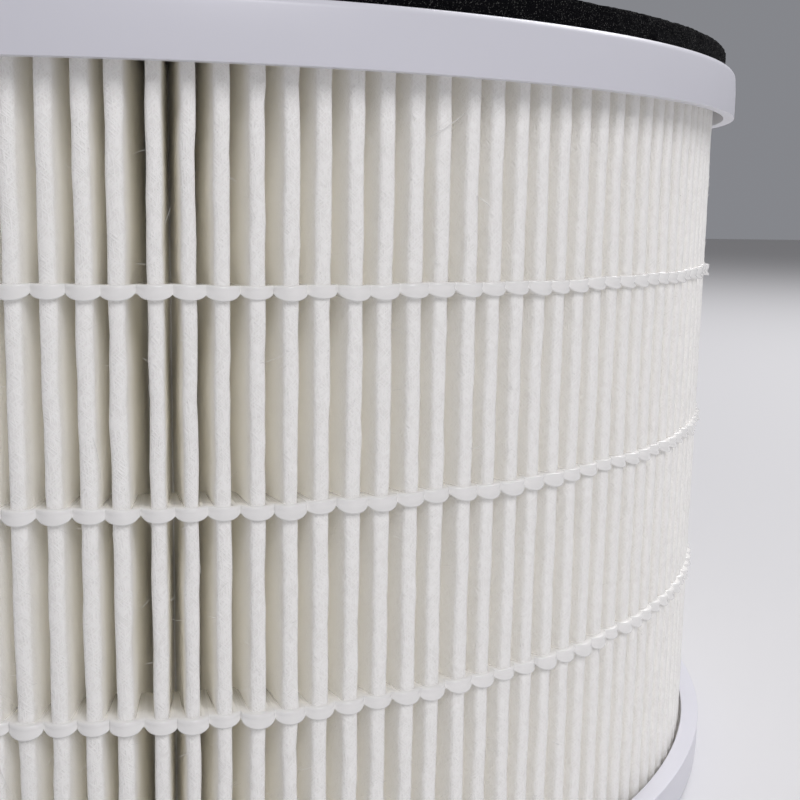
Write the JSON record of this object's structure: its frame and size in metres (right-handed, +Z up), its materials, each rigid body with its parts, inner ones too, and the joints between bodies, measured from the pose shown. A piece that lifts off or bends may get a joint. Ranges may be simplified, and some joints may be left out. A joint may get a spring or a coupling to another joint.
{
  "type": "cylindrical air purifier filter",
  "caption": "Round pleated air filter: a ring of deep white folds held by glue beads between a closed base cap and a ring cap with a round air outlet and a black foam seal.",
  "frame": {"origin": "middle of the underside, on the axis, where the filter stands", "axes": "+Z up along the axis, out through the air outlet; -Y is the side that the picture faces"},
  "size_m": [0.204, 0.204, 0.122],
  "materials": {
    "filter_sheet": "matt white non-woven sheet, slightly fuzzy",
    "hot_melt": "clear-white set glue, glossy",
    "cap_plastic": "white moulded plastic, satin",
    "potting": "off-white cast adhesive, satin",
    "foam": "black open-cell foam, matt"
  },
  "bodies": {
    "root": {"pleated_media": "filter_sheet", "seam_glue": "hot_melt", "bottom_cap": "cap_plastic", "bottom_potting": "potting", "top_cap": "cap_plastic", "top_potting": "potting", "top_gasket": "foam", "outer_bead_lower": "hot_melt", "outer_bead_middle": "hot_melt", "outer_bead_upper": "hot_melt"}
  },
  "joints": []
}
